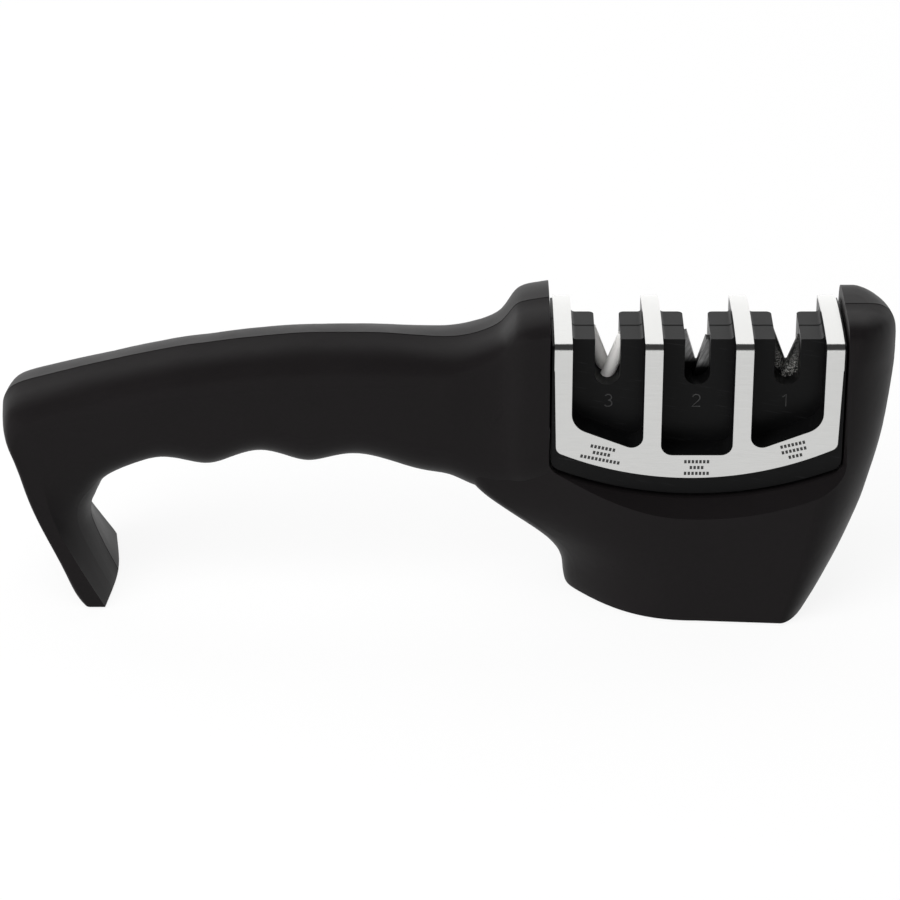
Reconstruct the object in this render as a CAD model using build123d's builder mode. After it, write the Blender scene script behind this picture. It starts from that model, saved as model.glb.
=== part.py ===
from build123d import *
import os
from math import cos, hypot, radians, sin, sqrt, tan

# Pull-through knife sharpener with three stages: a two-shell body with a hand
# grip, a leg and a flared base, and a sharpening module that lifts out of it.
# Frame: +Z up, +X towards the nose, -Y is the front. The origin is on the floor
# under the middle of the body. All lengths are in millimetres.

# Driving dimensions of the body
handle_length = 120.2        # rear tip to the left face of the raised wall
wall_width = 7.4             # raised wall between the handle and the module
nose_length = 12.2           # nose beyond the module
body_height = 73.1
handle_width = 25.0
head_width = 29.2            # raised wall and nose, front to rear
base_width = 50.6
foot_width = 37.0
shell_wall = 2.2
rim_height = 0.5             # shells stand this far above the floor, on rubber
nose_drop = 1.9              # the nose is this much lower than the raised wall

# Driving dimensions of the sharpening module
stage_pitch = 20.7
strap_width = 4.1
strap_height = 68.0          # crown of the bright straps above the floor
strap_crown = 1.0            # fall of a strap from its middle to its bend
strap_bend = 2.0             # outer radius of a strap's bend
sheet = 0.6                  # thickness of the bright frame
module_depth = 28.6          # over both faces of the bright frame
module_margin = 0.5          # black housing beyond the outer straps
module_floor = 28.8          # lowest point of the housing
module_rise = 6.9            # rise of the housing's bottom arc to its ends
module_corner = 3.0
block_height = 65.6          # black slot walls
panel_depth = 14.6           # over the recessed faces of the slot walls
end_gap = 0.5                # housing to the body, at each end
seat_gap = 0.9               # housing to the body, below
slide_gap = 0.15             # running clearance of the guides
part_gap = 0.1               # small gap between pieces that are held still
overrun = 30.0               # cuts run this far past what they cut

# Slots and abrasives
slot_width = 5.9
slot_round = 1.2             # the slot's edge on the rear face
slot_floor = 53.9            # bottom of the round-ended notch
ceramic_tilt = 20.5          # degrees from upright
tungsten_tilt = 16.5
diamond_tilt = 20.5
ceramic_vee = 57.7           # where each pair crosses
tungsten_vee = 56.3
diamond_vee = 56.9
vee_reach = 7.4              # how far each abrasive stands above the crossing
rod_radius = 1.6
rod_length = 20.4
blade_width = 4.4
blade_thickness = 2.6
blade_length = 19.0
diamond_width = 4.2
diamond_thickness = 3.0
diamond_round = 1.2
diamond_length = 20.0
vee_stagger = 0.15           # half the gap between the two of a pair

# Bright frame
frame_left_floor = 39.9      # lower corners of its face, and its lowest point
frame_right_floor = 41.0
frame_floor = 33.2
frame_taper = 0.6            # its face is this much narrower below, at each end
strap_leg = 4.1              # legs of the straps overlap the face by this much
window_floor = 39.1          # middle window
window_inner_floor = 39.8    # low side of the outer windows
window_outer_floor = 46.4    # high side of the outer windows
window_corner = 2.7
window_big_corner = 5.0

# Cradle, guides and seats
sill_depth = 29.0            # the cradle's straight part, front to rear
sill_angle = 24.0            # degrees, fall of the sill beyond it
rail_width = 6.0
rail_depth = 1.3             # reach of a body's rail into the housing's groove
rail_floor = 43.0
rail_top = 60.0
block_fillet = 1.0           # foot of each strap's rib
seat_width = 7.0
seat_depth = 14.0
seat_inset = 13.0            # seat centre from the module's end
seat_rise = 0.3              # seat above the saddle, at its outer side
seat_foot = 3.0              # height of the housing's foot on a seat

# Inserts that hold the abrasives
holder_width = 10.6
holder_depth = 9.6
holder_floor = 40.6
holder_top = 51.6
holder_chamfer = 0.8

# Sole, foot pad and fasteners
sole_plate_thickness = 2.0
sole_pad_thickness = 2.0
sole_plate_gap = 0.9
sole_pad_gap = 0.5
foot_pad_thickness = 1.5
foot_pad_inset = 1.1
pad_side_gap = 0.2
screw_radius = 1.4
screw_head_radius = 2.7
screw_head_height = 1.5
screw_length = 10.0
column_radius = 3.3
sole_screw_y = 11.0
sole_screw_inset = 21.0      # sole screws from each end of the module
case_screw_radius = 1.2
case_screw_head_radius = 2.2
case_screw_head_height = 1.6
case_screw_length = 19.0
case_screw_inset = 4.7       # case screws from the module's ends
case_screw_height = 41.8
pin_radius = 1.5
pin_length = 4.0
pin_gap = 0.1
boss_radius = 3.2
rivet_radius = 0.9
rivet_height = 46.0

# Lengths that follow from these
module_length = 3 * stage_pitch + strap_width + 2 * module_margin
cradle_length = module_length + 2 * end_gap
head_length = wall_width + cradle_length + nose_length
body_length = handle_length + head_length
wall_left = handle_length - body_length / 2
cradle_left = wall_left + wall_width
cradle_right = cradle_left + cradle_length
module_left = cradle_left + end_gap
module_right = module_left + module_length
module_middle = (module_left + module_right) / 2
case_depth = module_depth - 2 * sheet
stage_places = [module_middle + step * stage_pitch for step in (-1, 0, 1)]
strap_places = [module_middle + (step - 1.5) * stage_pitch for step in range(4)]

# Raised wall, hand grip and leg, from the cradle to the leg's foot. Each station
# is a slice through the seam plane from its outer point to its inner point: the
# places along the handle and up the body, how far the width has gone from the
# handle's to the head's or the foot's, how much narrower it is above, the fall
# of its top beside the seam, the two roundings and the softness.
neck_station_shares = [
    (-0.090, 1.000, -0.090, 0.373, 1.00, 0.00, 0.02, 0.09, 0.24, 1),
    (-0.070, 0.998, -0.070, 0.371, 1.00, 0.00, 0.02, 0.09, 0.24, 1),
    (-0.050, 0.994, -0.050, 0.367, 1.00, 0.00, 0.02, 0.09, 0.24, 1),
    (-0.032, 0.989, -0.032, 0.362, 0.99, 0.00, 0.02, 0.09, 0.24, 1),
    (-0.015, 0.983, -0.015, 0.357, 0.94, 0.01, 0.02, 0.09, 0.24, 1),
    (0.000, 0.973, 0.000, 0.350, 0.78, 0.03, 0.02, 0.10, 0.25, 1),
    (0.014, 0.946, 0.014, 0.346, 0.50, 0.06, 0.02, 0.11, 0.25, 1),
    (0.029, 0.914, 0.029, 0.342, 0.30, 0.09, 0.02, 0.12, 0.25, 1),
    (0.047, 0.893, 0.047, 0.341, 0.17, 0.09, 0.02, 0.12, 0.26, 1),
    (0.067, 0.878, 0.067, 0.347, 0.09, 0.08, 0.02, 0.12, 0.27, 1),
    (0.093, 0.865, 0.093, 0.364, 0.02, 0.05, 0.02, 0.13, 0.28, 1),
]
grip_station_shares = [
    (0.129, 0.857, 0.129, 0.394, 0, 0, 0.03, 0.17, 0.29, 1),
    (0.171, 0.859, 0.171, 0.408, 0, 0, 0.04, 0.20, 0.30, 1),
    (0.216, 0.865, 0.216, 0.429, 0, 0, 0.05, 0.24, 0.30, 1),
    (0.264, 0.871, 0.264, 0.457, 0, 0, 0.06, 0.27, 0.31, 1),
    (0.314, 0.872, 0.314, 0.473, 0, 0, 0.06, 0.28, 0.31, 1),
    (0.360, 0.872, 0.360, 0.461, 0, 0, 0.06, 0.28, 0.31, 1),
    (0.405, 0.871, 0.405, 0.447, 0, 0, 0.06, 0.28, 0.31, 1),
    (0.450, 0.866, 0.450, 0.468, 0, 0, 0.06, 0.28, 0.31, 1),
    (0.495, 0.858, 0.495, 0.486, 0, 0, 0.06, 0.29, 0.32, 1),
    (0.545, 0.849, 0.545, 0.466, 0, 0, 0.06, 0.29, 0.32, 1),
    (0.597, 0.836, 0.597, 0.438, 0, 0, 0.06, 0.28, 0.31, 1),
    (0.645, 0.825, 0.645, 0.451, 0, 0, 0.06, 0.29, 0.32, 1),
    (0.690, 0.810, 0.690, 0.461, 0, 0, 0.06, 0.31, 0.34, 1),
    (0.738, 0.793, 0.730, 0.445, 0, 0, 0.06, 0.31, 0.34, 1),
    (0.788, 0.773, 0.766, 0.420, 0, 0, 0.06, 0.31, 0.34, 1),
]
leg_station_shares = [
    (0.840, 0.752, 0.793, 0.394, 0.02, 0, 0.06, 0.29, 0.35, 1),
    (0.895, 0.727, 0.807, 0.370, 0.05, 0, 0.06, 0.26, 0.36, 1),
    (0.947, 0.703, 0.813, 0.348, 0.08, 0, 0.07, 0.24, 0.38, 1),
    (0.987, 0.667, 0.819, 0.326, 0.12, 0, 0.07, 0.21, 0.43, 1),
    (0.999, 0.600, 0.825, 0.302, 0.17, 0, 0.07, 0.18, 0.49, 0.9),
    (0.983, 0.510, 0.832, 0.276, 0.23, 0, 0.07, 0.17, 0.54, 0.75),
    (0.965, 0.408, 0.836, 0.247, 0.32, 0, 0.07, 0.18, 0.54, 0.5),
    (0.942, 0.300, 0.837, 0.212, 0.44, 0, 0.07, 0.20, 0.49, 0.25),
    (0.916, 0.200, 0.830, 0.168, 0.57, 0, 0.07, 0.24, 0.42, 0.1),
    (0.895, 0.115, 0.817, 0.110, 0.69, 0, 0.07, 0.29, 0.33, 0),
    (0.881, 0.050, 0.802, 0.050, 0.80, 0, 0.07, 0.35, 0.24, 0),
    (0.862, 0.000, 0.789, 0.000, 0.87, 0, 0.07, 0.40, 0.20, 0),
]

# Base and nose, from the floor to the nose's crown. Each station is a level
# slice: its height, then the left tip, neck, full width, bow and right tip along
# the head, the half widths at neck, full width and bow, and the neck's slant.
base_station_shares = [
    (0.000, 0.132, 0.168, 0.477, 0.700, 0.806, 0.392, 0.949, 1.000, 50),
    (0.050, 0.127, 0.164, 0.472, 0.712, 0.833, 0.392, 0.929, 0.975, 49),
    (0.106, 0.116, 0.157, 0.469, 0.726, 0.858, 0.396, 0.905, 0.944, 44),
    (0.163, 0.088, 0.134, 0.465, 0.739, 0.881, 0.411, 0.881, 0.911, 36),
    (0.220, 0.042, 0.092, 0.461, 0.752, 0.901, 0.431, 0.858, 0.878, 27),
    (0.277, -0.015, 0.038, 0.457, 0.764, 0.919, 0.451, 0.830, 0.846, 18),
    (0.348, -0.085, -0.031, 0.453, 0.778, 0.938, 0.471, 0.799, 0.810, 9),
    (0.433, -0.143, -0.086, 0.444, 0.793, 0.956, 0.478, 0.755, 0.759, 4),
    (0.532, -0.158, -0.095, 0.415, 0.809, 0.974, 0.482, 0.699, 0.698, 1),
    (0.645, -0.126, -0.063, 0.370, 0.827, 0.987, 0.490, 0.644, 0.642, 0),
    (0.759, -0.040, 0.011, 0.290, 0.848, 0.996, 0.509, 0.600, 0.596, 0),
]
crown_station_shares = [
    (0.851, 0.039, 0.085, 0.244, 0.872, 0.999, 0.904, 1.000, 1.000, 0),
    (0.912, 0.079, 0.119, 0.244, 0.880, 0.998, 0.911, 0.990, 0.990, 0),
    (0.952, 0.096, 0.136, 0.244, 0.886, 0.991, 0.880, 0.950, 0.950, 0),
    (0.977, 0.108, 0.147, 0.244, 0.890, 0.978, 0.810, 0.880, 0.880, 0),
    (0.991, 0.119, 0.153, 0.244, 0.893, 0.963, 0.700, 0.770, 0.770, 0),
    (0.998, 0.125, 0.159, 0.244, 0.893, 0.945, 0.520, 0.590, 0.590, 0),
    (1.000, 0.130, 0.165, 0.244, 0.893, 0.922, 0.290, 0.330, 0.330, 0),
]

# Roundness of the slices
crown_reach_share = 0.62
shoulder_share = 0.30
belly_share = 0.72           # fullness of the grip's lower rounding
belly_reach_share = 0.60
flat_share = 0.35            # the same for the leg's inner face
tip_share = 0.55
reach_share = 0.42
foot_stations = 4            # solid at the leg's foot
crown_stations = 4           # solid at the nose's crown

# Seam pins, along the handle or the head and up the body
handle_pin_shares = [(0.20, 0.66), (0.62, 0.64)]
head_pin_shares = [(0.42, 0.17), (0.72, 0.17)]


def station_plane(start, end):
    """Plane of a slice: its x runs from start to end, its y to the front."""
    run = Vector(end[0] - start[0], 0, end[1] - start[1])
    return Plane(origin=(start[0], 0, start[1]), x_dir=run, z_dir=(run.Z, 0, -run.X))


def between(first, second, share):
    return tuple(a + (b - a) * share for a, b in zip(first, second))


def halves(first, second, third, fourth):
    """Both halves of one cubic curve."""
    a = between(first, second, 0.5)
    b = between(second, third, 0.5)
    c = between(third, fourth, 0.5)
    d = between(a, b, 0.5)
    e = between(b, c, 0.5)
    middle = between(d, e, 0.5)
    return (first, a, d, middle), (middle, e, c, fourth)


def straight(first, last):
    return first, between(first, last, 1 / 3), between(first, last, 2 / 3), last


def grip_curves(depth, half_width, lean, fall, top_share, low_share, softness):
    """Outline of a grip slice, from the outer seam round the front to the inner."""
    top = depth * top_share
    low = depth * (1 - low_share)
    rest = depth - low
    high_width = half_width * (1 - lean)
    fullness = flat_share + (belly_share - flat_share) * softness
    shoulder = 1 - shoulder_share * (1 - softness)
    reach = flat_share + (belly_reach_share - flat_share) * softness
    side = (top, high_width)
    edge = (low, half_width)
    first = (
        (0, 0),
        (half_width * fall, half_width * crown_reach_share),
        (top * shoulder_share, high_width),
        side,
    )
    under = halves(edge, (low + rest * fullness, half_width * shoulder),
                   (depth, half_width * reach), (depth, 0))
    return [first, straight(side, edge), under[0], under[1]]


def hull_curves(neck, full, bow, length, slant):
    """Outline of a level slice, from its left tip round the front to its right tip."""
    run = hypot(full[0] - neck[0], full[1] - neck[1]) * reach_share
    back = neck[0] * (1 - flat_share / 2) / cos(radians(slant))
    lead = (neck[0] - back * cos(radians(slant)), neck[1] - back * sin(radians(slant)))
    leave = (neck[0] + run * cos(radians(slant)), neck[1] + run * sin(radians(slant)))
    arrive = (full[0] - (full[0] - neck[0]) * reach_share, full[1])
    bow_run = length - bow[0]
    turn = (bow[0] + bow_run * flat_share, bow[1])
    close = (length - bow_run * flat_share / 8, bow[1] * tip_share)
    return [
        ((0, 0), (0, neck[1] * tip_share), lead, neck),
        (neck, leave, arrive, full),
        straight(full, bow),
        (bow, turn, close, (length, 0)),
    ]


def slice_face(start, end, curves):
    """A half slice of the body as a face, closed along the seam."""
    plane = station_plane(start, end)
    edges = []
    for curve in curves + [straight(curves[-1][-1], curves[0][0])]:
        edges.append(Bezier(*[plane.from_local_coords(point) for point in curve]))
    return Face(Wire(edges))


def plain_face(start, end, curves):
    """The same slice with straight sides, for the hollow."""
    plane = station_plane(start, end)
    points = []
    for curve in curves:
        for half in halves(*curve):
            points.append(plane.from_local_coords(half[0]))
    points.append(plane.from_local_coords(curves[-1][-1]))
    return Face(Wire.make_polygon(points))


def grip_stations():
    """Slices of wall, grip and leg, as start, end, half width and the shape of each."""
    handle_half = handle_width / 2
    spans = (
        (neck_station_shares, (head_width - handle_width) / 2),
        (grip_station_shares, 0),
        (leg_station_shares, (foot_width - handle_width) / 2),
    )
    span_height = body_height - rim_height
    stations = []
    for shares, spread in spans:
        for x_out, z_out, x_in, z_in, width, *shape in shares:
            outer = (wall_left - handle_length * x_out, rim_height + span_height * z_out)
            inner = (wall_left - handle_length * x_in, rim_height + span_height * z_in)
            stations.append((outer, inner, handle_half + spread * width, shape))
    return stations


def hull_stations(inset):
    """Slices of base and nose, as start, end and their outline."""
    stations = []
    base = [(row, base_width / 2) for row in base_station_shares]
    crown = [(row, head_width / 2) for row in crown_station_shares]
    for row, half_width in base + crown:
        height, left, neck, full, bow, right = row[:6]
        neck_width, full_width, bow_width, slant = row[6:]
        level = rim_height + (body_height - nose_drop - rim_height) * height
        left_x = wall_left + head_length * left + inset
        right_x = wall_left + head_length * right - inset
        tip_to = [wall_left + head_length * share - left_x for share in (neck, full, bow)]
        widths = [half_width * share - inset for share in (neck_width, full_width, bow_width)]
        outline = hull_curves(
            (tip_to[0] + inset / 2, widths[0]),
            (tip_to[1], widths[1]),
            (tip_to[2] - inset / 2, widths[2]),
            right_x - left_x,
            slant,
        )
        stations.append(((left_x, level), (right_x, level), outline))
    return stations


def grip_form():
    """Front half of wall, grip and leg."""
    slices = []
    for outer, inner, half_width, shape in grip_stations():
        curves = grip_curves(hypot(inner[0] - outer[0], inner[1] - outer[1]), half_width, *shape)
        slices.append(slice_face(outer, inner, curves))
    with BuildPart() as form:
        loft(slices)
    return form.part


def grip_hollow():
    """Front half of the hollow inside them, down to the leg's foot."""
    slices = []
    for outer, inner, half_width, shape in grip_stations()[:-foot_stations:2]:
        depth = hypot(inner[0] - outer[0], inner[1] - outer[1])
        start = between(outer, inner, shell_wall / depth)
        end = between(inner, outer, shell_wall / depth)
        curves = grip_curves(depth - 2 * shell_wall, half_width - shell_wall, *shape)
        slices.append(plain_face(start, end, curves))
    with BuildPart() as form:
        loft(slices, ruled=True)
    return form.part


def hull_form():
    """Front half of base and nose."""
    with BuildPart() as form:
        loft([slice_face(start, end, curves) for start, end, curves in hull_stations(0)])
    return form.part


def hull_hollow():
    """Front half of the hollow inside them, open below."""
    stations = hull_stations(shell_wall)[:-crown_stations]
    with BuildPart() as form:
        loft([plain_face(start, end, curves) for start, end, curves in stations], ruled=True)
    return form.part


def arc_height(away, drop):
    """Height of the housing's bottom arc, or of one below it, away from the module's middle."""
    half = module_length / 2
    radius = (half**2 + module_rise**2) / (2 * module_rise)
    return module_floor + radius - sqrt((radius + drop) ** 2 - away**2)


def case_outline(offset, side, drop, top):
    """Front view of the housing, grown at its ends and below, at a distance from the seam."""
    reach = module_length / 2 + side
    end_height = arc_height(reach, drop)
    low_left = (module_middle - reach, end_height)
    low_right = (module_middle + reach, end_height)
    with BuildSketch(Plane.XZ.offset(offset)) as outline:
        with BuildLine():
            ThreePointArc(low_left, (module_middle, module_floor - drop), low_right)
            Polyline(low_right, (low_right[0], top), (low_left[0], top), low_left)
        make_face()
        fillet(outline.vertices().group_by(Axis.Y)[0], module_corner + side)
    return outline.sketch


def cradle_space(wall):
    """Front half of the space that the module drops into, grown by a wall."""
    top = body_height + overrun
    side = end_gap + wall
    drop = seat_gap + wall
    spread = overrun * tan(radians(sill_angle))
    with BuildPart() as space:
        extrude(case_outline(0, side, drop, top), amount=sill_depth / 2)
        near = case_outline(sill_depth / 2, side, drop, top)
        far = case_outline(sill_depth / 2 + overrun, side + spread, drop + spread, top)
        loft([near.face(), far.face()], ruled=True)
    return space.part


def seat_places():
    return [module_left + seat_inset, module_right - seat_inset]


def pin_places():
    span_height = body_height - rim_height
    places = [(wall_left - handle_length * x, rim_height + span_height * z) for x, z in handle_pin_shares]
    places += [(wall_left + head_length * x, rim_height + span_height * z) for x, z in head_pin_shares]
    return places


def sole_screw_places():
    return [module_left + sole_screw_inset, module_right - sole_screw_inset]


def foot_outline(height, inset):
    """The leg's foot at a height, half of it, drawn in from its edge."""
    outer, inner, half_width, shape = grip_stations()[-1]
    start = (outer[0] + inset, height)
    end = (inner[0] - inset, height)
    return slice_face(start, end, grip_curves(end[0] - start[0], half_width - inset, *shape))


def sole_outline(height, inset):
    """The base's floor outline at a height, half of it, drawn in from its edge."""
    start, end, curves = hull_stations(inset)[0]
    return slice_face((start[0], height), (end[0], height), curves)


def abrasive(place, vee, tilt, half_width, side):
    """Plane of one abrasive of a pair: its x across, its y along it, middle at the crossing."""
    across = (cos(radians(tilt)), 0, -sin(radians(tilt)))
    centre = (place + side * half_width * across[0], 0, vee + half_width * across[2])
    return Plane(origin=centre, x_dir=(side * across[0], 0, across[2]), z_dir=(0, -side, 0))


def on_slot(edge):
    """Whether an upright edge of the housing stands beside a slot, on the rear face."""
    middle = edge.center()
    away = min(abs(middle.X - place) for place in stage_places)
    return away < slot_width and abs(middle.Y - panel_depth / 2) < part_gap


def crown_half(place, depth, top, bend, floor):
    """Side view of a strap or its rib at a place: the front half, under a shallow crown."""
    with BuildSketch(Plane.YZ.offset(place)) as face:
        with BuildLine():
            crown = TangentArc((0, top), (-depth, top - strap_crown), tangent=(-1, 0))
            Polyline(crown @ 1, (-depth, floor), (0, floor), (0, top))
        make_face()
        shoulder = face.vertices().sort_by(Axis.X)[:2].sort_by(Axis.Y)[-1]
        fillet(shoulder, bend)
    return face.sketch.face()


def window_face(step, offset):
    """One window of the bright frame in front view, open at the top."""
    top = body_height + overrun
    left = strap_places[step + 1] + strap_width / 2
    right = strap_places[step + 2] - strap_width / 2
    floors = (window_floor, window_floor)
    radii = (window_corner, window_corner)
    if step < 0:
        floors = (window_outer_floor, window_inner_floor)
        radii = (window_big_corner, window_corner)
    if step > 0:
        floors = (window_inner_floor, window_outer_floor)
        radii = (window_corner, window_big_corner)
    with BuildSketch(Plane.XZ.offset(offset)) as window:
        with BuildLine():
            Polyline((left, top), (left, floors[0]), (right, floors[1]), (right, top), close=True)
        make_face()
        corners = window.vertices().sort_by(Axis.Y)[:2].sort_by(Axis.X)
        fillet(corners[0], radii[0])
        fillet(window.vertices().sort_by(Axis.Y)[:3].sort_by(Axis.X)[-1], radii[1])
    return window.sketch.face()


sole_top = sole_pad_thickness + sole_plate_thickness
seat_height = arc_height(module_length / 2 - seat_inset + seat_width / 2, seat_gap) + seat_rise
pairs = [
    ("ceramic", stage_places[0], ceramic_vee, ceramic_tilt, 2 * rod_radius, 2 * rod_radius, rod_length),
    ("tungsten", stage_places[1], tungsten_vee, tungsten_tilt, blade_width, blade_thickness, blade_length),
    ("diamond", stage_places[2], diamond_vee, diamond_tilt, diamond_width, diamond_thickness, diamond_length),
]
half_depth = case_depth / 2
rib_top = strap_height - sheet
windows = (-1, 0, 1)
case_screw_places = [
    (module_left + case_screw_inset, case_screw_height),
    (module_right - case_screw_inset, case_screw_height),
]
pieces = []

# Front half of the body, outside: both forms with the cradle cut out of them
cradle = cradle_space(0)
with BuildPart() as grip_outside:
    add(grip_form())
    add(cradle, mode=Mode.SUBTRACT)
with BuildPart() as outside:
    add(hull_form())
    add(cradle, mode=Mode.SUBTRACT)
    add(grip_outside.part)

# Hollow inside it, clear of the cradle's own wall
with BuildPart() as hollow:
    add(grip_hollow())
    add(hull_hollow())
    add(cradle_space(shell_wall), mode=Mode.SUBTRACT)

# Bosses for the seam pins, from the side wall to the seam
with BuildPart() as bosses:
    with BuildSketch(Plane.XZ):
        with Locations(pin_places()):
            Circle(boss_radius)
    extrude(amount=base_width / 2)
    add(outside.part, mode=Mode.INTERSECT)

# Half a shell, without its pins or sockets
with BuildPart() as half_shell:
    add(outside.part)
    add(hollow.part, mode=Mode.SUBTRACT)
    add(bosses.part)
    with BuildSketch(Plane.XY.offset(sole_top)):
        with Locations([(x, -sole_screw_y) for x in sole_screw_places()]):
            Circle(column_radius)
    extrude(amount=module_floor - seat_gap - sole_top)
    with BuildSketch(Plane.XY.offset(seat_height)):
        with Locations([(x, 0) for x in seat_places()]):
            Rectangle(seat_width, seat_depth / 2, align=(Align.CENTER, Align.MAX))
    extrude(amount=-(seat_height - module_floor + seat_gap))
    with BuildSketch(Plane.XZ):
        with Locations((module_middle, rail_floor)):
            Rectangle(cradle_length, rail_top - rail_floor, align=(Align.CENTER, Align.MIN))
            Rectangle(module_length - 2 * rail_depth, rail_top - rail_floor,
                      align=(Align.CENTER, Align.MIN), mode=Mode.SUBTRACT)
    extrude(amount=rail_width / 2)
    with BuildSketch(Plane.XY.offset(sole_top)):
        with Locations([(x, -sole_screw_y) for x in sole_screw_places()]):
            Circle(screw_radius + part_gap)
    extrude(amount=screw_length, mode=Mode.SUBTRACT)
    extrude(sole_outline(rim_height, shell_wall), amount=sole_top - rim_height,
            dir=(0, 0, 1), mode=Mode.SUBTRACT)
    extrude(foot_outline(rim_height, foot_pad_inset), amount=foot_pad_thickness - rim_height,
            dir=(0, 0, 1), mode=Mode.SUBTRACT)

# Front shell, with the pins
with BuildPart() as body_shell_front:
    add(half_shell.part)
    with BuildSketch(Plane.XZ):
        with Locations(pin_places()):
            Circle(pin_radius)
    extrude(amount=-pin_length)
pieces.append(("body_shell_front", body_shell_front))

# Rear shell, with the sockets
with BuildPart() as body_shell_rear:
    add(half_shell.part)
    mirror(about=Plane.XZ, mode=Mode.REPLACE)
    with BuildSketch(Plane.XZ):
        with Locations(pin_places()):
            Circle(pin_radius + pin_gap)
    extrude(amount=-(pin_length + pin_gap), mode=Mode.SUBTRACT)
pieces.append(("body_shell_rear", body_shell_rear))

# Plate that closes the base and ties the two shells together
with BuildPart() as sole_plate:
    extrude(sole_outline(sole_pad_thickness, shell_wall + sole_plate_gap),
            amount=sole_plate_thickness, dir=(0, 0, 1))
    mirror(about=Plane.XZ)
    with Locations(Plane.XY.offset(sole_pad_thickness)):
        with Locations([(x, y) for x in sole_screw_places() for y in (-sole_screw_y, sole_screw_y)]):
            Cylinder(screw_radius + part_gap, sole_plate_thickness, mode=Mode.SUBTRACT,
                     align=(Align.CENTER, Align.CENTER, Align.MIN))
            Cylinder(screw_head_radius + part_gap, screw_head_height, mode=Mode.SUBTRACT,
                     align=(Align.CENTER, Align.CENTER, Align.MIN))
pieces.append(("sole_plate", sole_plate))

# Rubber under the base
with BuildPart() as sole_pad:
    extrude(sole_outline(0, shell_wall + sole_pad_gap), amount=sole_pad_thickness, dir=(0, 0, 1))
    mirror(about=Plane.XZ)
pieces.append(("sole_pad", sole_pad))

# Four screws that hold the plate, under the rubber
with BuildPart() as sole_screws:
    with Locations(Plane.XY.offset(sole_pad_thickness)):
        with Locations([(x, y) for x in sole_screw_places() for y in (-sole_screw_y, sole_screw_y)]):
            Cylinder(screw_radius, screw_length, align=(Align.CENTER, Align.CENTER, Align.MIN))
            Cylinder(screw_head_radius, screw_head_height - part_gap,
                     align=(Align.CENTER, Align.CENTER, Align.MIN))
pieces.append(("sole_screws", sole_screws))

# Rubber under the leg
with BuildPart() as foot_pad:
    extrude(foot_outline(0, foot_pad_inset + pad_side_gap), amount=foot_pad_thickness, dir=(0, 0, 1))
    mirror(about=Plane.XZ)
pieces.append(("foot_pad", foot_pad))

# Abrasives: two of each stage, crossed in front of and behind the seam
channels = []
for name, place, vee, tilt, width, thickness, length in pairs:
    for side, end in ((1, "front"), (-1, "rear")):
        plane = abrasive(place, vee, tilt, width / 2, side)
        drop = vee_reach - length / 2
        bodies = []
        for gap in (0, part_gap):
            with BuildPart() as piece:
                with BuildSketch(plane.offset(vee_stagger - gap)):
                    with Locations((0, drop)):
                        Rectangle(width + 2 * gap, length + 2 * gap)
                extrude(amount=thickness + 2 * gap)
                if name == "ceramic":
                    along = piece.edges().filter_by(Axis(plane.origin, plane.y_dir))
                    fillet(along, width / 2 + gap - part_gap / 4)
                if name == "diamond":
                    along = piece.edges().filter_by(Axis(plane.origin, plane.y_dir))
                    fillet(along, diamond_round)
                if name == "tungsten" and gap == 0:
                    with BuildSketch(Plane.XZ):
                        with Locations((place, rivet_height)):
                            Circle(rivet_radius + part_gap / 2)
                    extrude(amount=holder_depth / 2, both=True, mode=Mode.SUBTRACT)
            bodies.append(piece)
        pieces.append((name + "_" + end, bodies[0]))
        channels.append((end, bodies[1].part))

# Front half of the housing, without the channels
with BuildPart() as half_case:
    extrude(case_outline(0, 0, 0, body_height + overrun), amount=half_depth)
    extrude(crown_half(module_left, half_depth, rib_top, strap_bend - sheet, 0),
            amount=module_length, mode=Mode.INTERSECT)
    extrude([window_face(step, panel_depth / 2) for step in windows], amount=half_depth, mode=Mode.SUBTRACT)
    with BuildSketch(Plane.XZ):
        for place in stage_places:
            with Locations((place, block_height)):
                Rectangle(stage_pitch - strap_width, overrun, align=(Align.CENTER, Align.MIN))
        fillet(vertices().group_by(Axis.Y)[0], block_fillet)
    extrude(amount=half_depth, mode=Mode.SUBTRACT)
    with BuildSketch(Plane.XZ):
        for place in stage_places:
            with Locations((place, slot_floor + slot_width / 2)):
                Rectangle(slot_width, overrun, align=(Align.CENTER, Align.MIN))
                Circle(slot_width / 2)
    extrude(amount=half_depth, mode=Mode.SUBTRACT)
    with BuildSketch(Plane.XZ):
        for place in stage_places:
            with Locations((place, holder_floor - part_gap)):
                Rectangle(holder_width + 2 * part_gap, holder_top - holder_floor + 2 * part_gap,
                          align=(Align.CENTER, Align.MIN))
    extrude(amount=holder_depth / 2 + part_gap, mode=Mode.SUBTRACT)
    with BuildSketch(Plane.XZ):
        with Locations((module_middle, rail_top + slide_gap)):
            Rectangle(module_length, overrun, align=(Align.CENTER, Align.MAX))
            Rectangle(module_length - 2 * (rail_depth + slide_gap), overrun,
                      align=(Align.CENTER, Align.MAX), mode=Mode.SUBTRACT)
    extrude(amount=rail_width / 2 + slide_gap, mode=Mode.SUBTRACT)
    with BuildSketch(Plane.XY.offset(seat_height)):
        with Locations([(x, 0) for x in seat_places()]):
            Rectangle(seat_width, seat_depth / 2, align=(Align.CENTER, Align.MAX))
    extrude(amount=seat_foot)
    with BuildSketch(Plane.XY.offset(seat_height)):
        with Locations([(x, 0) for x in seat_places()]):
            Rectangle(seat_width + 2 * seat_gap, seat_depth / 2 + seat_gap, align=(Align.CENTER, Align.MAX))
    extrude(amount=-overrun, mode=Mode.SUBTRACT)

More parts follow.
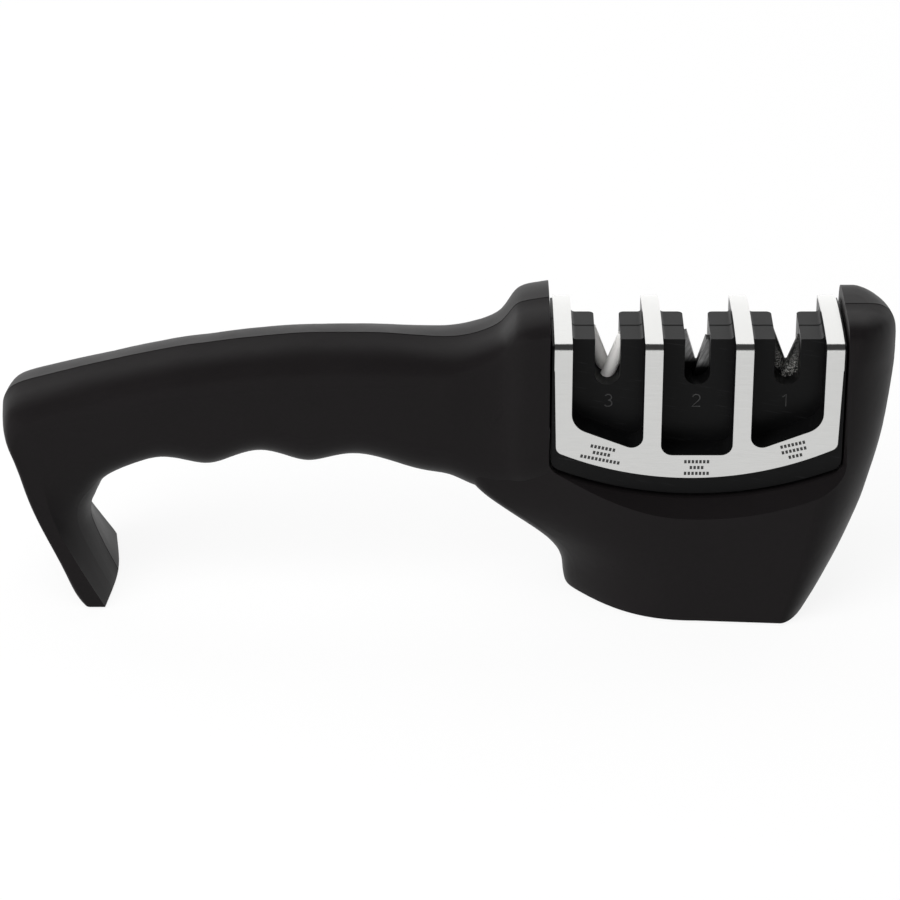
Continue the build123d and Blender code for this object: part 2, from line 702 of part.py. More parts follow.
# Front half of the housing, with the blind holes of its screws
with BuildPart() as case_front:
    add(half_case.part)
    for end, channel in channels:
        if end == "front":
            add(channel, mode=Mode.SUBTRACT)
    with BuildSketch(Plane.XZ):
        with Locations(case_screw_places):
            Circle(case_screw_radius + part_gap)
    extrude(amount=case_screw_length + case_screw_head_height - half_depth + part_gap, mode=Mode.SUBTRACT)
pieces.append(("case_front", case_front))

# Rear half of the housing, with the sunk heads of its screws
with BuildPart() as case_rear:
    add(half_case.part)
    mirror(about=Plane.XZ, mode=Mode.REPLACE)
    fillet(case_rear.edges().filter_by(Axis.Z).filter_by(on_slot), slot_round)
    for end, channel in channels:
        if end == "rear":
            add(channel, mode=Mode.SUBTRACT)
    with BuildSketch(Plane.XZ):
        with Locations(case_screw_places):
            Circle(case_screw_radius + part_gap)
    extrude(amount=-half_depth, mode=Mode.SUBTRACT)
    with BuildSketch(Plane.XZ.offset(-half_depth)):
        with Locations(case_screw_places):
            Circle(case_screw_head_radius + part_gap)
    extrude(amount=case_screw_head_height, mode=Mode.SUBTRACT)
pieces.append(("case_rear", case_rear))

# Screws that join the housing from behind, under the bright frame
with BuildPart() as case_screws:
    with BuildSketch(Plane.XZ.offset(-half_depth)):
        with Locations(case_screw_places):
            Circle(case_screw_head_radius)
    extrude(amount=case_screw_head_height)
    with BuildSketch(Plane.XZ.offset(case_screw_head_height - half_depth)):
        with Locations(case_screw_places):
            Circle(case_screw_radius)
    extrude(amount=case_screw_length)
pieces.append(("case_screws", case_screws))

# Bright frame: both faces and the four straps over the top, one bent sheet
frame_left = strap_places[0] - strap_width / 2
frame_right = strap_places[-1] + strap_width / 2
frame_top = strap_height - strap_crown - strap_bend
with BuildPart() as bright_frame:
    with BuildSketch(Plane.XZ.offset(half_depth)) as face:
        with BuildLine():
            ThreePointArc((frame_left + frame_taper, frame_left_floor), (module_middle, frame_floor),
                          (frame_right - frame_taper, frame_right_floor))
            Polyline((frame_right - frame_taper, frame_right_floor), (frame_right, frame_top),
                     (frame_left, frame_top), (frame_left + frame_taper, frame_left_floor))
        make_face()
        fillet(face.vertices().sort_by(Axis.Y)[:2], strap_bend)
    extrude(amount=sheet)
    extrude([window_face(step, half_depth) for step in windows], amount=sheet, mode=Mode.SUBTRACT)
    for place in strap_places:
        left = place - strap_width / 2
        extrude(crown_half(left, half_depth + sheet, strap_height, strap_bend, frame_top - strap_leg),
                amount=strap_width)
        extrude(crown_half(left, half_depth, rib_top, strap_bend - sheet, 0),
                amount=strap_width, mode=Mode.SUBTRACT)
    mirror(about=Plane.XZ)
pieces.append(("bright_frame", bright_frame))

# One insert under each slot, gripping the lower ends of its two abrasives
for name, place, vee, tilt, width, thickness, length in pairs:
    with BuildPart() as holder:
        with BuildSketch(Plane.XY.offset(holder_floor)):
            with Locations((place, 0)):
                Rectangle(holder_width, holder_depth)
        extrude(amount=holder_top - holder_floor)
        chamfer(holder.edges().filter_by(Axis.Z), holder_chamfer)
        for end, channel in channels:
            add(channel, mode=Mode.SUBTRACT)
        if name == "tungsten":
            with BuildSketch(Plane.XZ.offset(-holder_depth / 2)):
                with Locations((place, rivet_height)):
                    Circle(rivet_radius + part_gap / 2)
            extrude(amount=holder_depth, mode=Mode.SUBTRACT)
    pieces.append((name + "_holder", holder))

# Rivet that clamps the two tungsten blades in their insert
with BuildPart() as blade_rivet:
    with BuildSketch(Plane.XZ.offset(-holder_depth / 2)):
        with Locations((stage_places[1], rivet_height)):
            Circle(rivet_radius)
    extrude(amount=holder_depth)
pieces.append(("blade_rivet", blade_rivet))

for name, piece in pieces:
    piece.part.label = name
os.makedirs("parts", exist_ok=True)
for name, piece in pieces:
    export_step(piece.part, "parts/" + name + ".step")
    box = piece.part.bounding_box()
    print(name, len(piece.part.solids()), round(piece.part.volume), piece.part.is_valid,
          [round(v, 1) for v in (*box.min, *box.max)])
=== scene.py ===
# %% [markdown]
# # A pull-through knife sharpener, dressed for its picture
#
# The object is a hand-held sharpener: a black moulded body with a grip, a leg
# and a flared base, and a module with three knife slots under a bright sheet.
# All its solids come from the CAD part, at their real size, and they stay as
# they are. What is added here is what a camera sees of it: the grain of the
# moulding, the satin of the sheet, the marks, the light and the view. Lengths
# are in metres, x runs along the sharpener, and the camera looks along +y.

# %% Load the part as a fixed frame
import math

import bmesh
import bpy
from mathutils import Matrix, Vector


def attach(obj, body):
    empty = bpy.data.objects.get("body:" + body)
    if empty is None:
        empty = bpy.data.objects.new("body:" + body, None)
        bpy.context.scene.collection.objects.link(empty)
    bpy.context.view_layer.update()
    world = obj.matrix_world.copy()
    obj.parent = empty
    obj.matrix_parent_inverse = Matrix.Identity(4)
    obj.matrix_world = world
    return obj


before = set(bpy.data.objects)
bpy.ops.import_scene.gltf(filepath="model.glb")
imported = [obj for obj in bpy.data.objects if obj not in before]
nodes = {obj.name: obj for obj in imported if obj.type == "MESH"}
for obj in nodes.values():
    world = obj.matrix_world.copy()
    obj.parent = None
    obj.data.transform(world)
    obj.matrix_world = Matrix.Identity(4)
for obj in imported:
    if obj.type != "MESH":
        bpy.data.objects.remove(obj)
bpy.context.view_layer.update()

# %% [markdown]
# ## The camera
#
# The picture was taken with a long lens from in front and a little above: the
# straps stay parallel, and the tops of the slot walls show. A camera is placed
# most safely by an angle and a distance from one point on the object, because
# the lens then only sets how large the object is in the frame. Here the point
# is the middle of the sharpener, a little below half its height.

# %% Camera
view_elevation = math.radians(28.0)
view_distance = 0.900
look_at = Vector((0.0007, 0.0, 0.0329))
lens_mm = 153.0
sensor_mm = 36.0


def add_object(name, data):
    """An object of the scene that shows these data."""
    added = bpy.data.objects.new(name, data)
    bpy.context.scene.collection.objects.link(added)
    return added


camera = add_object("camera", bpy.data.cameras.new("camera"))
bpy.context.scene.camera = camera
towards_camera = Vector((0.0, -math.cos(view_elevation), math.sin(view_elevation)))
camera.location = look_at + view_distance * towards_camera
camera.rotation_euler = (math.pi / 2 - view_elevation, 0.0, 0.0)
camera.data.lens = lens_mm
camera.data.sensor_width = sensor_mm
print("camera at", [round(v, 3) for v in camera.location])

# %% [markdown]
# ## Helpers for the shader nodes
#
# Every finish below is a small tree of shader nodes, in which numbers and
# colours flow from socket to socket until they reach the main shader. A socket
# either takes what another one puts out or holds a value of its own, and one
# helper serves both cases, so that the cells below needn't ask which it is.

# %% Feeding the sockets
def feed(tree, socket, value):
    """Links a socket to the one that feeds it, or sets its number, vector or colour."""
    if isinstance(value, bpy.types.NodeSocket):
        tree.links.new(value, socket)
    elif socket.type == "RGBA":
        socket.default_value = (*value, 1.0)
    else:
        socket.default_value = value


def add_node(tree, kind, **inputs):
    """A node of that kind. Its inputs go by name, with underscores for spaces."""
    node = tree.nodes.new(kind)
    for name, value in inputs.items():
        feed(tree, node.inputs[name.replace("_", " ")], value)
    return node


# %% [markdown]
# ## Small formulas
#
# Three kinds of node do all the reckoning below: one moves a value from one
# range to another, one does sums, and one mixes colours. Each helper returns
# the socket that its node puts out, so they nest like the terms of a formula.

# %% Reckoning nodes
def remap(tree, value, low, high, to_low=0.0, to_high=1.0, smooth=False):
    """A value that runs between two limits while its source does, and stops there."""
    node = add_node(tree, "ShaderNodeMapRange", Value=value, From_Min=low, From_Max=high,
                    To_Min=to_low, To_Max=to_high)
    node.interpolation_type = "SMOOTHSTEP" if smooth else "LINEAR"
    return node.outputs["Result"]


def calculate(tree, operation, *values):
    """The result of one operation on sockets and numbers."""
    node = tree.nodes.new("ShaderNodeMath")
    node.operation = operation
    for socket, value in zip(node.inputs, values):
        feed(tree, socket, value)
    return node.outputs["Value"]


def blend(tree, share, first, second):
    """A colour between two others, by a share from 0 to 1."""
    node = tree.nodes.new("ShaderNodeMix")
    node.data_type = "RGBA"
    for name, value in (("Factor", share), ("A", first), ("B", second)):
        feed(tree, node.inputs[name], value)
    return node.outputs["Result"]


# %% [markdown]
# ## Places and noise
#
# Real surfaces are never even, so every finish follows some noise. The noise is
# read from object coordinates, which are metres here: its grain then has a real
# size, and it keeps still on the module when that lifts. Drawn out along one
# direction, the same noise becomes rolled or ground lines.

# %% Coordinates and noise
noise_low = 0.3
noise_high = 0.7


def object_place(tree):
    """Object coordinates, in metres."""
    return tree.nodes.new("ShaderNodeTexCoord").outputs["Object"]


def axis_place(tree, axis):
    """One of the object coordinates, X, Y or Z."""
    return add_node(tree, "ShaderNodeSeparateXYZ", Vector=object_place(tree)).outputs[axis]


def grain(tree, per_metre, stretch=1.0, tilt=0.0, detail=2.0, roughness=0.6):
    """Noise with so many features a metre, drawn out along x and tilted about y."""
    place = tree.nodes.new("ShaderNodeMapping")
    place.vector_type = "TEXTURE"
    feed(tree, place.inputs["Vector"], object_place(tree))
    feed(tree, place.inputs["Scale"], (stretch, 1.0, 1.0))
    feed(tree, place.inputs["Rotation"], (0.0, tilt, 0.0))
    noise = add_node(tree, "ShaderNodeTexNoise", Vector=place.outputs["Vector"], Scale=per_metre,
                     Detail=detail, Roughness=roughness)
    return noise.outputs["Fac"]


def spread(tree, noise, low, high):
    """A value that follows a noise between two limits."""
    return remap(tree, noise, noise_low, noise_high, low, high)


# %% [markdown]
# ## Materials
#
# A new material brings one shader that can be plastic, metal or rubber by its
# numbers alone. Its colour, roughness and share of metal are set on its own
# sockets, and what varies over the surface is linked to them afterwards. The
# part's pieces keep their meshes, and only their material changes.

# %% Starting a material
def shader_of(material):
    """The main shader of a material."""
    return material.node_tree.nodes["Principled BSDF"]


def color_of(material):
    """The socket that takes a material's base colour."""
    return shader_of(material).inputs["Base Color"]


def new_material(name, color, roughness, metallic=0.0):
    """A material with a plain principled shader."""
    material = bpy.data.materials.new(name)
    material.use_nodes = True
    feed(material.node_tree, color_of(material), color)
    shader_of(material).inputs["Roughness"].default_value = roughness
    shader_of(material).inputs["Metallic"].default_value = metallic
    return material


def dress(material, *names):
    """Gives CAD nodes their finish."""
    for name in names:
        mesh = nodes[name].data
        mesh.materials.clear()
        mesh.materials.append(material)
    print(material.name, "on", ", ".join(names))


# %% [markdown]
# ## Colour and relief
#
# A noise tints a surface between two near colours. The same noise, or another,
# goes into a bump, which bends the light as real relief of that height would,
# without a single new face on the mesh.

# %% Colour and relief
def tint(material, share, dark, light):
    """A base colour that follows a share between two colours."""
    tree = material.node_tree
    feed(tree, color_of(material), blend(tree, share, dark, light))


def overlay(material, share, color):
    """A second colour over the base colour that a material has, where the share is high."""
    tree = material.node_tree
    under = color_of(material).links[0].from_socket
    feed(tree, color_of(material), blend(tree, share, under, color))


def raise_surface(material, height, strength, distance):
    """A bump by a height from 0 to 1."""
    tree = material.node_tree
    bump = add_node(tree, "ShaderNodeBump", Height=height, Strength=strength, Distance=distance)
    feed(tree, shader_of(material).inputs["Normal"], bump.outputs["Normal"])


# %% [markdown]
# ## Moulded plastic
#
# The body's shells are injection moulded with a fine spark-eroded grain, so
# they look matt but not chalky: a broad sheen runs along the top of the grip
# and the grain breaks it up. A fine noise in the bump gives the grain, and a
# larger, weaker one in the roughness gives the rubbed look of handling. The
# gloss is kept weak, because a pale table mirrored in it would turn the black
# into grey, and most of what the eye gets is the colour itself.

# %% Moulded plastic
cloud_per_metre = 60.0
grain_depth = 0.00005
rubbed = 0.03
dulled = 0.04


def moulded_plastic(name, dark, light, roughness, gloss, grain_size, grain_strength):
    """A moulded plastic with its grain."""
    material = new_material(name, dark, roughness)
    tree = material.node_tree
    shader = shader_of(material)
    fine = grain(tree, 1.0 / grain_size, detail=3.0)
    cloud = grain(tree, cloud_per_metre)
    tint(material, cloud, dark, light)
    feed(tree, shader.inputs["Roughness"], spread(tree, cloud, roughness - rubbed, roughness + dulled))
    raise_surface(material, fine, grain_strength, grain_depth)
    shader.inputs["Specular IOR Level"].default_value = gloss
    return material


# %% [markdown]
# ## The parting line
#
# The body and the module's housing are each moulded in two halves that meet in
# the middle, so a fine line runs along the top of the grip, over the wall and
# the nose, and across the blocks between the slots. It could be cut into the
# mesh, but it is only a few tenths of a millimetre wide and follows the plane
# between the halves exactly. So the material draws it: the distance from that
# plane, read from the object coordinates, becomes a second bump below the
# grain. One part of it is the small step where the halves meet, the other a
# slight crown, by which the front half falls away from the line.

# %% Parting line
def parting_line(material, step_width, step_height, crown_width, crown_height):
    """A second bump for the line between two halves, at y = 0."""
    tree = material.node_tree
    side = axis_place(tree, "Y")
    step = remap(tree, side, -step_width / 2, step_width / 2, to_high=step_height, smooth=True)
    crown = calculate(tree, "POWER", remap(tree, side, -crown_width, 0.0), 2.0)
    height = calculate(tree, "MULTIPLY_ADD", crown, crown_height, step)
    line = add_node(tree, "ShaderNodeBump", Strength=1.0, Distance=1.0, Height=height)
    grain_bump = shader_of(material).inputs["Normal"].links[0].from_node
    feed(tree, grain_bump.inputs["Normal"], line.outputs["Normal"])


# %% [markdown]
# ## The black body
#
# The two shells and the plate that closes the base are the same matt plastic.
# Black plastic is never quite black: a very dark warm grey with a weak, rough
# gloss gives the soft look of the real body. The crown of its parting line is
# 5 mm wide, which leaves the narrow pale band along the top of the grip.

# %% Body finish
body_plastic = moulded_plastic(
    "body_plastic", dark=(0.0070, 0.0060, 0.0063), light=(0.0090, 0.0079, 0.0083),
    roughness=0.44, gloss=0.09, grain_size=0.00035, grain_strength=0.30)
parting_line(body_plastic, step_width=0.00045, step_height=0.00022,
             crown_width=0.0050, crown_height=0.00035)
dress(body_plastic, "body_shell_front", "body_shell_rear", "sole_plate")

# %% [markdown]
# ## Scuffs
#
# Knives that miss a slot leave faint scuffs on the housing. A noise drawn out
# to long thin streaks, of which only the highest are kept, lays them over the
# colour. Few and faint is right: the eye should find them only when it looks.

# %% Scuffs
scuff_low = 0.66
scuff_high = 0.80


def scuffs(material, length, width, pale, tilt):
    """Faint pale streaks over the colour that a material has."""
    tree = material.node_tree
    streaks = grain(tree, 1.0 / width, length / width, tilt, detail=1.0, roughness=0.5)
    overlay(material, remap(tree, streaks, scuff_low, scuff_high), pale)
    print("scuffs", length, "m long")


# %% [markdown]
# ## The module's housing and inserts
#
# The housing between the straps is the same kind of plastic, a little smoother
# and deeper in colour, so that the slots read as dark wells beside the sheet.
# Its halves meet on top of the blocks in the same kind of line, without much
# of a crown. The inserts that hold the abrasives sit deep in the slots, and
# the darkest and dullest plastic keeps them there.

# %% Housing and inserts
housing_plastic = moulded_plastic(
    "housing_plastic", dark=(0.0036, 0.0037, 0.0038), light=(0.0052, 0.0052, 0.0054),
    roughness=0.34, gloss=0.09, grain_size=0.00030, grain_strength=0.20)
parting_line(housing_plastic, step_width=0.00050, step_height=0.00030,
             crown_width=0.0010, crown_height=0.00003)
scuffs(housing_plastic, length=0.0060, width=0.00030, pale=(0.016, 0.016, 0.017),
       tilt=math.radians(10))
dress(housing_plastic, "case_front", "case_rear")

insert_plastic = moulded_plastic(
    "insert_plastic", dark=(0.0022, 0.0022, 0.0022), light=(0.0034, 0.0034, 0.0034),
    roughness=0.50, gloss=0.06, grain_size=0.00040, grain_strength=0.30)
dress(insert_plastic, "ceramic_holder", "tungsten_holder", "diamond_holder")

# %% [markdown]
# ## The bright sheet
#
# One bent sheet covers both faces of the module and runs over its top in four
# straps. It is satin: a face that stays pale from most sides, with a sharper
# glint where it bends. A rough metal does both, and a noise drawn out along x
# lays the fine lines of its rolling along the sheet.

# %% Bright sheet
line_depth = 0.00002
polished = 0.04
worn = 0.05


def satin_metal(name, dark, light, roughness, line_length, line_width, line_strength, tilt=0.0):
    """A rolled or ground metal with fine lines along x, tilted about y."""
    material = new_material(name, light, roughness, metallic=1.0)
    tree = material.node_tree
    lines = grain(tree, 1.0 / line_width, line_length / line_width, tilt, detail=3.0)
    tint(material, spread(tree, lines, 0.0, 1.0), dark, light)
    rough = spread(tree, lines, roughness - polished, roughness + worn)
    feed(tree, shader_of(material).inputs["Roughness"], rough)
    raise_surface(material, lines, line_strength, line_depth)
    return material


bright_sheet = satin_metal(
    "bright_sheet", dark=(0.585, 0.585, 0.576), light=(0.635, 0.635, 0.625),
    roughness=0.20, line_length=0.004, line_width=0.00015, line_strength=0.08)
dress(bright_sheet, "bright_frame")

# %% [markdown]
# ## Specked surfaces
#
# Ink and unglazed ceramic are matt, and what keeps them from looking like a
# flat patch of colour is a fine speckle. One helper makes them all, from two
# near colours and the number of specks along a metre.

# %% Specked material
speck_depth = 0.00003


def specked(name, color, dark, light, roughness, specks, relief=0.0):
    """A matt material with fine specks, which relief raises."""
    material = new_material(name, color, roughness)
    noise = grain(material.node_tree, specks)
    tint(material, noise, dark, light)
    if relief:
        raise_surface(material, noise, relief, speck_depth)
    return material


# %% [markdown]
# ## The stage numbers
#
# Each slot has its plain number on the recessed panel below it: 3, 2 and 1 from
# the grip outwards. They are small, drawn with one thin even stroke, and only a
# little paler than the panel. A font would give thick and thin strokes, so the
# numbers are drawn as lines through arcs and corners, in heights of a number
# from its middle.

# %% Lines of the numbers
def arc(middle_x, middle_z, radius_x, radius_z, first, last, steps=16):
    """Points along part of an ellipse, between two angles in degrees."""
    angles = [math.radians(first + (last - first) * step / steps) for step in range(steps + 1)]
    return [(middle_x + radius_x * math.cos(a), middle_z + radius_z * math.sin(a)) for a in angles]


number_lines = {
    "3": arc(0.0, 0.26, 0.25, 0.24, 150, -90) + arc(0.0, -0.24, 0.29, 0.26, 90, -150),
    "2": arc(0.0, 0.22, 0.28, 0.28, 165, -32) + [(-0.30, -0.50), (0.31, -0.50)],
    "1": [(-0.20, 0.27), (0.06, 0.50), (0.06, -0.50)],
}
print("points in each number", [len(points) for points in number_lines.values()])

# %% [markdown]
# ## From lines to raised strokes
#
# A curve with a round bevel turns a line into a stroke of even width. Its mesh
# is then pressed almost flat, which leaves a low raised stroke like one from a
# mould. The curve itself was only a tool, and it is taken away again.

# %% Raised strokes
stroke_width = 0.00030
stroke_rise = 0.15


def stroke_piece(name, points, place):
    """A flat stroke along a line of points in the xz plane, as a mesh object."""
    curve = bpy.data.curves.new(name + "_line", "CURVE")
    curve.dimensions = "3D"
    curve.bevel_depth = stroke_width / 2
    curve.bevel_resolution = 2
    curve.use_fill_caps = True
    spline = curve.splines.new("POLY")
    spline.points.add(len(points) - 1)
    for point, (x, z) in zip(spline.points, points):
        point.co = (x, 0.0, z, 1.0)
    line = add_object(name + "_line", curve)
    graph = bpy.context.evaluated_depsgraph_get()
    mesh = bpy.data.meshes.new_from_object(line.evaluated_get(graph))
    bpy.data.objects.remove(line)
    mesh.transform(Matrix.Translation(place) @ Matrix.Diagonal((1.0, stroke_rise, 1.0, 1.0)))
    return add_object(name, mesh)


# %% [markdown]
# ## Placing the numbers
#
# The three numbers share one height and one line, each under the middle of its
# slot. They lie on the recessed panel, half sunk into it as a moulded number
# is, and they ride on the module, so they lift with it.

# %% Stage numbers
number_height = 0.0031
number_middle = 0.0498
number_places = {"3": 0.0373, "2": 0.0577, "1": 0.0783}
panel_face = 0.0073

number_ink = specked("number_ink", (0.04, 0.04, 0.04), dark=(0.030, 0.030, 0.030),
                     light=(0.046, 0.046, 0.046), roughness=0.7, specks=6000.0)
for digit, points in number_lines.items():
    line = [(x * number_height, z * number_height) for x, z in points]
    number = stroke_piece("number_" + digit, line, (number_places[digit], -panel_face, number_middle))
    number.data.materials.append(number_ink)
    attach(number, "module")
    print(number.name, "faces", len(number.data.polygons))

# %% [markdown]
# ## The marks on the sheet
#
# Under each slot the sheet carries three short printed rows of small dashes in
# black ink. An image could hold them, but thin flat boxes need no image, stay
# sharp at any distance and have a real size. The two outer groups are tilted
# to follow the curved lower edge.

# %% Printed dashes
dash_height = 0.00084
dash_length = 0.00058
dash_gap = 0.00029
dash_pitch = dash_length + dash_gap
row_step = 0.00153
ink_thickness = 0.00004
sheet_face = 0.0143

mark_ink = specked("mark_ink", (0.02, 0.02, 0.02), dark=(0.010, 0.010, 0.010),
                   light=(0.030, 0.030, 0.030), roughness=0.55, specks=5000.0)


def printed_rows(name, counts, tilt, place_x, place_z):
    """Centred rows of dashes, one count of dashes for each row."""
    shape = bmesh.new()
    dash_size = Matrix.Diagonal((dash_length, ink_thickness, dash_height, 1.0))
    top = row_step * (len(counts) - 1) / 2
    for row, count in enumerate(counts):
        for dash in range(count):
            middle = Vector(((dash - (count - 1) / 2) * dash_pitch, 0.0, top - row * row_step))
            bmesh.ops.create_cube(shape, size=1.0, matrix=Matrix.Translation(middle) @ dash_size)
    place = Matrix.Translation((place_x, -sheet_face, place_z)) @ Matrix.Rotation(tilt, 4, "Y")
    bmesh.ops.transform(shape, matrix=place, verts=shape.verts)
    mesh = bpy.data.meshes.new(name)
    shape.to_mesh(mesh)
    shape.free()
    mesh.materials.append(mark_ink)
    piece = add_object(name, mesh)
    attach(piece, "module")
    print(name, "dashes", sum(counts))


printed_rows("marks_3", (7, 5, 11), tilt=math.radians(12), place_x=0.0357, place_z=0.0395)
printed_rows("marks_2", (7, 4, 7), tilt=0.0, place_x=0.0578, place_z=0.0359)
printed_rows("marks_1", (7, 7, 4), tilt=math.radians(-14), place_x=0.0802, place_z=0.0404)

# %% [markdown]
# ## The ceramic rods
#
# The finishing stage crosses two unglazed ceramic rods. They are nearly white
# and quite matt, because their surface is full of fine pores. The pores show in
# the colour and in the bump, from one and the same noise.

# %% Ceramic
ceramic = specked("ceramic", (0.84, 0.83, 0.81), dark=(0.78, 0.77, 0.75),
                  light=(0.88, 0.87, 0.85), roughness=0.62, specks=3500.0, relief=0.25)
dress(ceramic, "ceramic_front", "ceramic_rear")

# %% [markdown]
# ## The carbide blades
#
# The sharpening stage crosses two carbide blades. They are ground bright where
# the knife runs, with slanting lines from the wheel. Below where they cross they
# sit deep in the slot, in shade, and that shade is painted: a near-black colour
# is laid over the ground metal below a level in the object coordinates.

# %% Carbide
shade_full_below = 0.0560
shade_none_above = 0.0578

carbide = satin_metal(
    "carbide", dark=(0.07, 0.07, 0.07), light=(0.34, 0.34, 0.34), roughness=0.40,
    line_length=0.0035, line_width=0.00022, line_strength=0.35, tilt=math.radians(-62))
# Painted shade: near black over the blades below the level where they cross.
painted_shade_share = remap(carbide.node_tree, axis_place(carbide.node_tree, "Z"), shade_full_below, shade_none_above, 1.0, 0.0)
overlay(carbide, painted_shade_share, (0.006, 0.006, 0.006))
dress(carbide, "tungsten_front", "tungsten_rear")

# %% [markdown]
# ## The diamond bars
#
# The first stage crosses two bars coated with diamond grit. They are dark with
# single bright grains. A cellular noise gives each grain its own random value,
# and only the highest ones become bright. Higher up the bars the bright grains
# are fainter, so the lower ends show the brightest grains.

# %% Diamond
grains_per_metre = 5600.0
bright_from = 0.55
bright_full = 0.95
many_grains_below = 0.0545
few_grains_above = 0.0600
few_grains_share = 0.12
grit_strength = 0.6
grit_depth = 0.00008

diamond = new_material("diamond_grit", (0.20, 0.20, 0.20), roughness=0.40, metallic=0.5)
grit_tree = diamond.node_tree
grit = add_node(grit_tree, "ShaderNodeTexVoronoi", Vector=object_place(grit_tree), Scale=grains_per_metre)
chance = add_node(grit_tree, "ShaderNodeSeparateColor", Color=grit.outputs["Color"]).outputs["Red"]
bright = remap(grit_tree, chance, bright_from, bright_full)
# The bright grains fade with height, to about an eighth above the top level.
grain_share_by_height = remap(grit_tree, axis_place(grit_tree, "Z"), many_grains_below, few_grains_above, 1.0, few_grains_share)
tint(diamond, calculate(grit_tree, "MULTIPLY", bright, grain_share_by_height), (0.026, 0.026, 0.025), (0.90, 0.89, 0.85))
raise_surface(diamond, grit.outputs["Distance"], grit_strength, grit_depth)
dress(diamond, "diamond_front", "diamond_rear")

# %% [markdown]
# ## Rubber and fasteners
#
# The sole and the foot stand on soft rubber, which is duller than the plastic
# and coarser in its grain. The screws and the rivet are zinc plated, a dull
# grey metal with short lines.

# %% Rubber and fasteners
rubber = moulded_plastic(
    "rubber", dark=(0.012, 0.012, 0.012), light=(0.018, 0.018, 0.018),
    roughness=0.80, gloss=0.20, grain_size=0.00050, grain_strength=0.60)
dress(rubber, "sole_pad", "foot_pad")

zinc = satin_metal(
    "zinc", dark=(0.42, 0.43, 0.45), light=(0.55, 0.56, 0.58), roughness=0.40,
    line_length=0.001, line_width=0.0002, line_strength=0.15)
dress(zinc, "sole_screws", "case_screws", "blade_rivet")

# %% [markdown]
# ## The white paper
#
# The object stands on a white sweep that runs out of the frame. To keep the
# background white without flooding the object with light, the paper's material
# adds a plain white glow for rays that come straight from the camera, and for
# reflections of it, so its brightness doesn't change the lighting. A small
# share of the paper's own colour is left, which keeps the object's shadow.

# %% White paper
glow_strength = 1.03
glow_share = 0.85


def seen_or_mirrored(tree):
    """1 for rays from the camera and for reflections, 0 for rays that carry light."""
    path = tree.nodes.new("ShaderNodeLightPath")
    return calculate(tree, "MAXIMUM", path.outputs["Is Camera Ray"], path.outputs["Is Glossy Ray"])


paper = new_material("paper", (0.80, 0.80, 0.80), roughness=0.9)
paper_tree = paper.node_tree
paper_glow = add_node(paper_tree, "ShaderNodeEmission", Strength=glow_strength)
paper_mix = paper_tree.nodes.new("ShaderNodeMixShader")
paper_share = calculate(paper_tree, "MULTIPLY", seen_or_mirrored(paper_tree), glow_share)
paper_parts = (paper_share, shader_of(paper).outputs["BSDF"], paper_glow.outputs["Emission"])
for socket, part in zip(paper_mix.inputs, paper_parts):
    feed(paper_tree, socket, part)
paper_out = paper_tree.nodes["Material Output"]
feed(paper_tree, paper_out.inputs["Surface"], paper_mix.outputs["Shader"])
print("paper glows at", glow_strength, "with a share of", glow_share)

# %% [markdown]
# ## The floor
#
# One large square carries the paper. It lies a hair below the rubber pads, so
# that no two faces coincide. It belongs to the picture and not to the object.

# %% Floor
floor_half = 3.0
floor_drop = 0.00002

floor_mesh = bpy.data.meshes.new("floor")
floor_corners = [(x * floor_half, y * floor_half, 0.0) for x, y in ((-1, -1), (1, -1), (1, 1), (-1, 1))]
floor_mesh.from_pydata(floor_corners, [], [(0, 1, 2, 3)])
floor_mesh.materials.append(paper)
floor = add_object("floor", floor_mesh)
floor.location = (0.0, 0.0, -floor_drop)
print("floor", 2 * floor_half, "m wide")

# %% [markdown]
# ## The world
#
# The paper sweep ends in a low white wall far away, which only a view from
# near the floor would see, and which bright metal mirrors as a thin line. The
# world draws it: up to a few degrees above the horizon it is white for rays
# from the camera and for reflections. Everything above is a dim grey, as a
# studio's dark ceiling is, so that the lamps alone shape the object.

# %% World
ceiling_strength = 0.06
wall_top = 0.13
wall_blur = 0.05

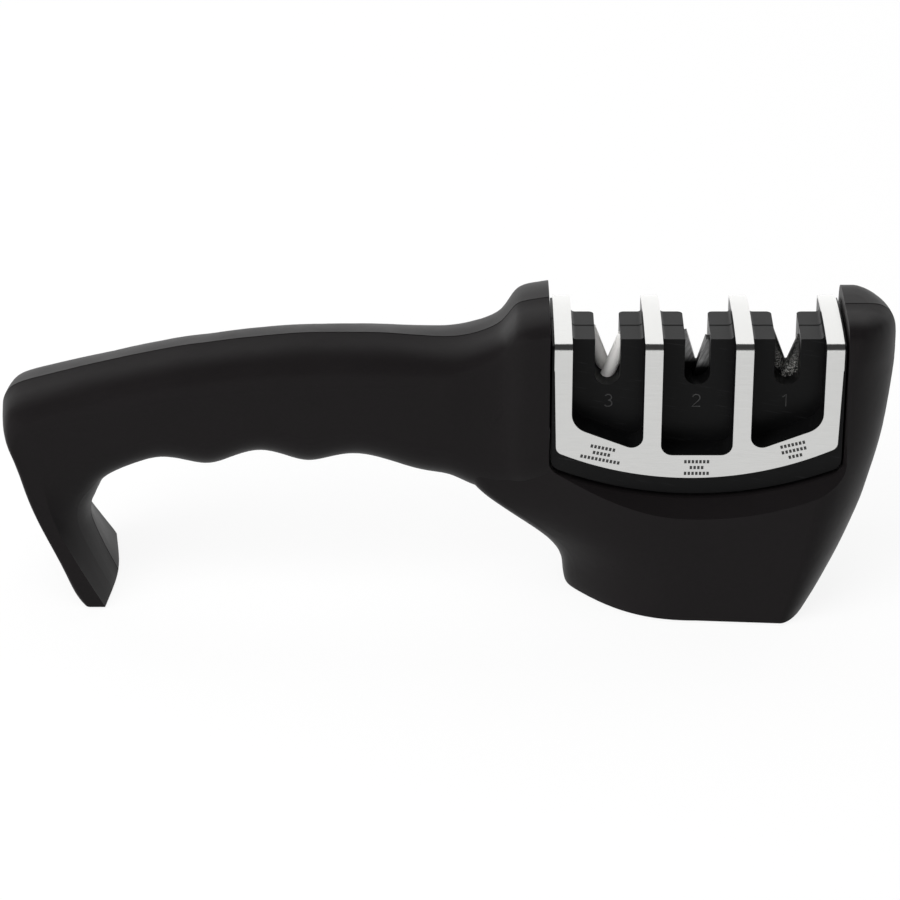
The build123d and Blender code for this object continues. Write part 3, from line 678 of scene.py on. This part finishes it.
world = bpy.data.worlds.new("studio")
world.use_nodes = True
bpy.context.scene.world = world
bpy.context.scene.view_settings.view_transform = "Standard"
world_tree = world.node_tree
direction = world_tree.nodes.new("ShaderNodeTexCoord").outputs["Generated"]
height = add_node(world_tree, "ShaderNodeSeparateXYZ", Vector=direction).outputs["Z"]
wall = remap(world_tree, height, wall_top, wall_top + wall_blur, 1.0 - ceiling_strength, 0.0)
brightness = calculate(world_tree, "MULTIPLY_ADD", seen_or_mirrored(world_tree), wall, ceiling_strength)
background = world_tree.nodes["Background"]
feed(world_tree, background.inputs["Color"], (1.0, 1.0, 1.0))
feed(world_tree, background.inputs["Strength"], brightness)
print("white wall up to", round(math.degrees(math.asin(wall_top)), 1), "degrees")

# %% [markdown]
# ## The lamps
#
# A large soft lamp behind the object and two small ones beside it give the long
# highlights of a product picture, and a wide low one in front shows in the sheet
# when it is seen from behind. Two more lamps in front only fill in the colours:
# they are hidden from reflections, as a photographer hides a lamp from bright
# metal with a flag, so the bends of the sheet stay dark.

# %% Lamps
lamp_aim = Vector((0.0, 0.0, 0.04))


def soft_lamp(name, place, width, height, power, mirrored=True):
    """A rectangular lamp that faces the object."""
    data = bpy.data.lights.new(name, "AREA")
    data.shape = "RECTANGLE"
    data.size = width
    data.size_y = height
    data.energy = power
    lamp = add_object(name, data)
    lamp.location = place
    lamp.rotation_euler = (lamp_aim - Vector(place)).to_track_quat("-Z", "Y").to_euler()
    lamp.visible_glossy = mirrored
    print(name, "lamp", power, "W")


soft_lamp("back_lamp", place=(0.0, 1.10, 0.75), width=3.0, height=1.6, power=20.0)
soft_lamp("left_lamp", place=(-0.90, -0.10, 0.35), width=0.4, height=0.6, power=0.8)
soft_lamp("right_lamp", place=(0.95, -0.15, 0.55), width=0.5, height=0.6, power=1.2)
soft_lamp("front_lamp", place=(0.0, -1.60, 0.55), width=3.0, height=0.6, power=4.5)
soft_lamp("fill_lamp", place=(-0.95, -0.75, 0.60), width=0.9, height=0.7, power=11.0, mirrored=False)
soft_lamp("top_lamp", place=(-0.35, -0.45, 1.15), width=1.0, height=1.0, power=8.5, mirrored=False)
